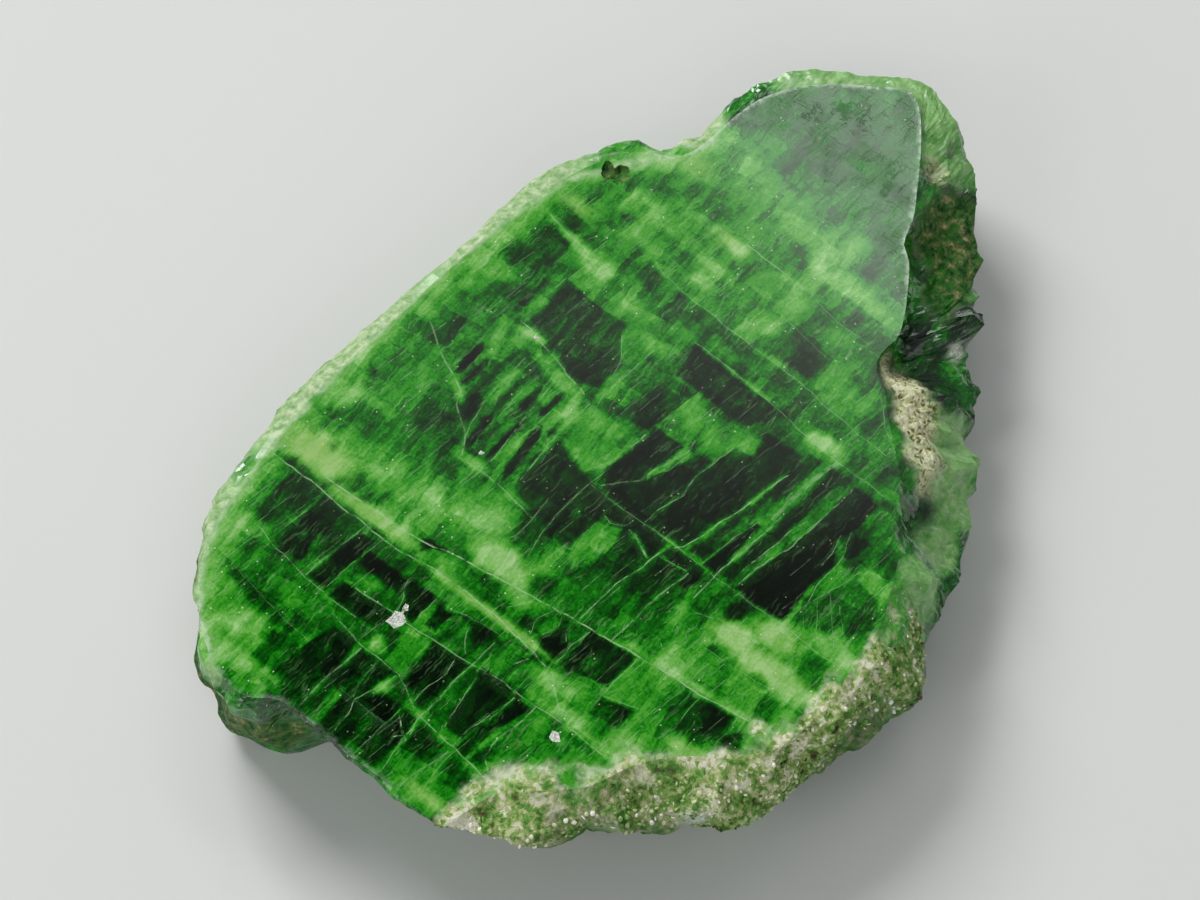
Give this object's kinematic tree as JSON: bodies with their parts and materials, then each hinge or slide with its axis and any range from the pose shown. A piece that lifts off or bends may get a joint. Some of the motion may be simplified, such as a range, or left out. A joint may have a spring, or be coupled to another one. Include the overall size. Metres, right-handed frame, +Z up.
{
  "type": "polished chrome diopside crystal",
  "caption": "Flat slice of a green see-through diopside crystal, polished on its upper face, with a broken rough wall, a narrow tip and a flat underside to rest on.",
  "frame": {"origin": "under the middle of the slice's bounding box, on the flat underside", "axes": "+Y along the crystal towards its narrow tip, +X across it towards the crusted side, +Z up through the polished face"},
  "size_m": [0.0384, 0.057, 0.008],
  "materials": {
    "diopside": "polished"
  },
  "bodies": {
    "root": {"crystal": "diopside"}
  },
  "joints": []
}
